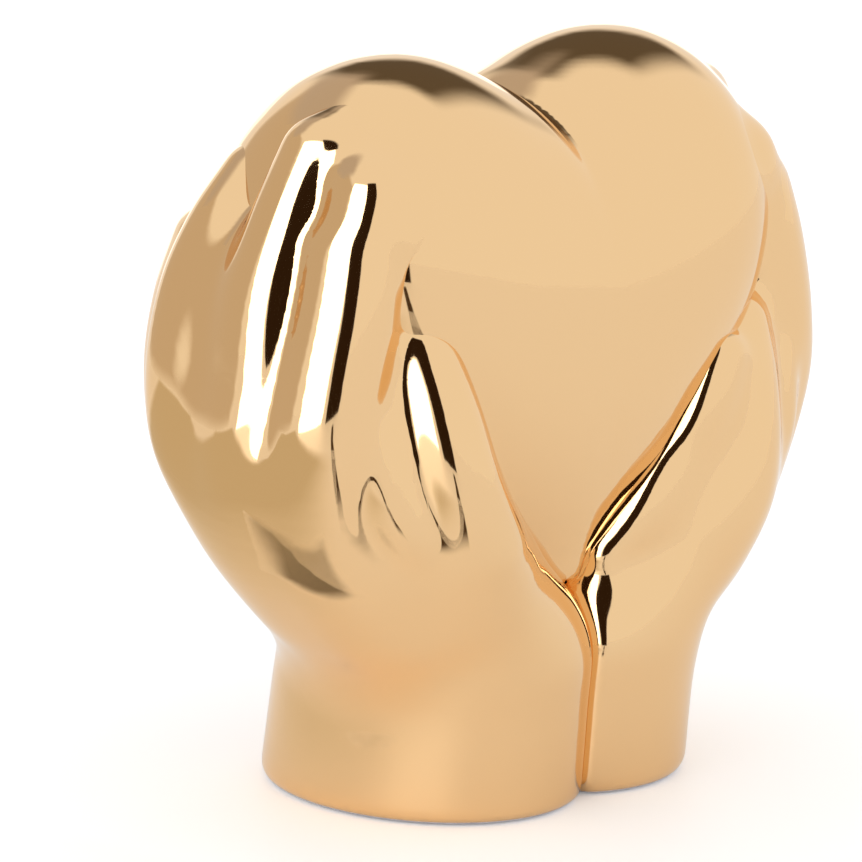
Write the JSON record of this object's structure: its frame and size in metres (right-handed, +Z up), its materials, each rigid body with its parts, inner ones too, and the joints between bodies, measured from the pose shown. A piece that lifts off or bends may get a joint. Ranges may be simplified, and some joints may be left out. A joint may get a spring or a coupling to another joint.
{
  "type": "ornamental hand sculpture",
  "caption": "Shelf ornament: two hands, joined wrists as the base, holding up a puffy heart, in gold-finished ceramic.",
  "frame": {"origin": "centre of the footprint's box on the table, under the ornament", "axes": "+Z up, -Y towards the front of the heart, +X towards the ornament's right hand as seen from the front"},
  "size_m": [0.2074, 0.1092, 0.2],
  "materials": {
    "gold_ceramic": "polished gold lustre over glaze",
    "felt": "felt"
  },
  "bodies": {
    "root": {"heart": "gold_ceramic", "left_hand": "gold_ceramic", "right_hand": "gold_ceramic", "left_felt_pad": "felt", "right_felt_pad": "felt"}
  },
  "joints": []
}
